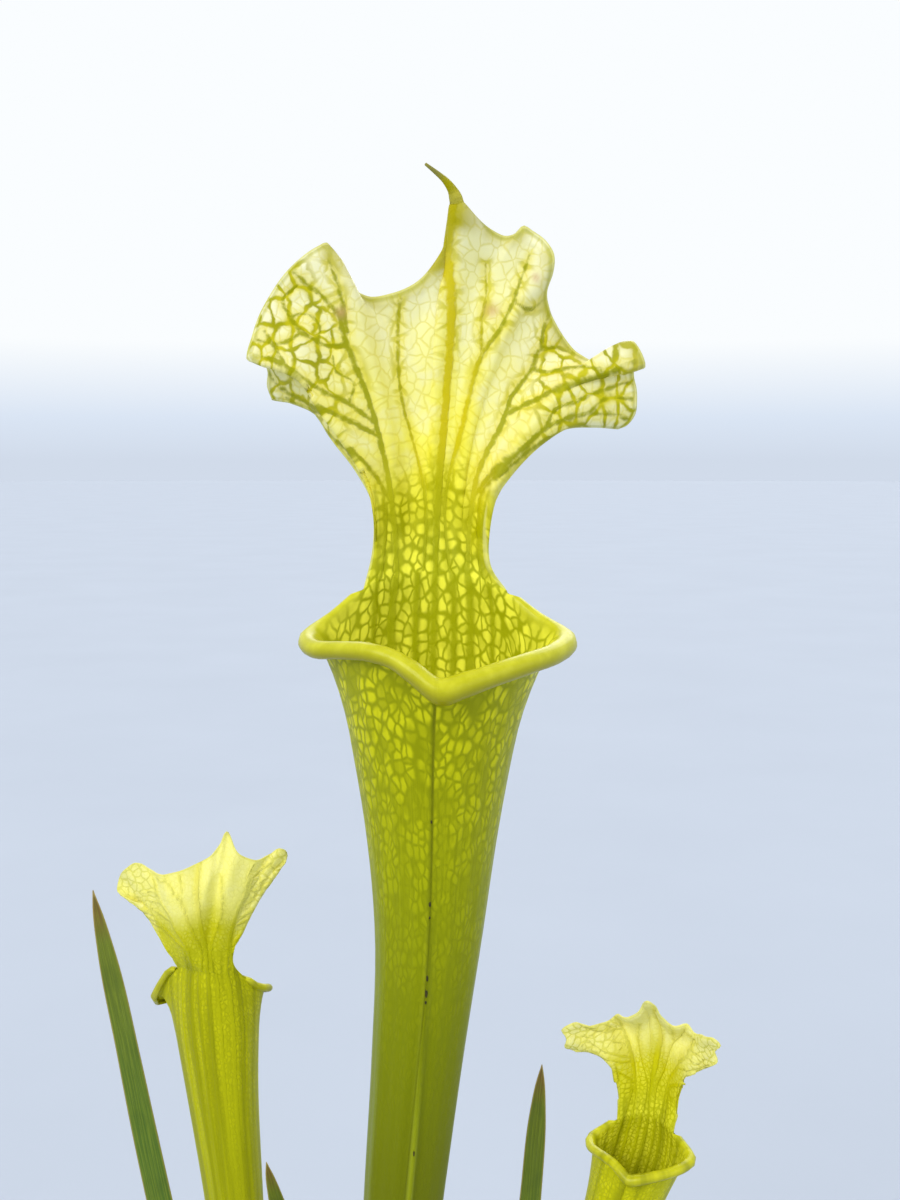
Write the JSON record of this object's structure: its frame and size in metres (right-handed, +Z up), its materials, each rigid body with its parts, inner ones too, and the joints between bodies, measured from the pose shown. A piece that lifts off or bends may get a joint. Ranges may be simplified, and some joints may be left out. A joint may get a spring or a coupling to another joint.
{
  "type": "potted pitcher plant",
  "caption": "Trumpet pitcher plant in a round nursery pot: a tall hooded pitcher with a broad veined lid, smaller pitchers and sword leaves.",
  "frame": {"origin": "centre of the pot's flat underside, on the surface the pot stands on", "axes": "+Z up along the plant's height; the tall pitcher's mouth faces -Y, and +X is to the right of someone looking into it"},
  "size_m": [0.1725, 0.14, 0.532],
  "materials": {
    "pot": "satin",
    "potting_mix": "matte",
    "rhizome": "matte",
    "pitcher_leaf": "satin",
    "sword_leaf": "satin",
    "dry_leaf_base": "matte"
  },
  "bodies": {
    "root": {"pot": "pot", "potting_mix": "potting_mix", "rhizome": "rhizome", "tall_pitcher": "pitcher_leaf", "young_pitcher": "pitcher_leaf", "short_pitcher": "pitcher_leaf", "sword_leaf_left": "sword_leaf", "sword_leaf_right": "sword_leaf", "sword_leaf_back": "sword_leaf", "unopened_spear": "sword_leaf", "trimmed_leaf_base_1": "dry_leaf_base", "trimmed_leaf_base_2": "dry_leaf_base", "trimmed_leaf_base_3": "dry_leaf_base"}
  },
  "joints": []
}
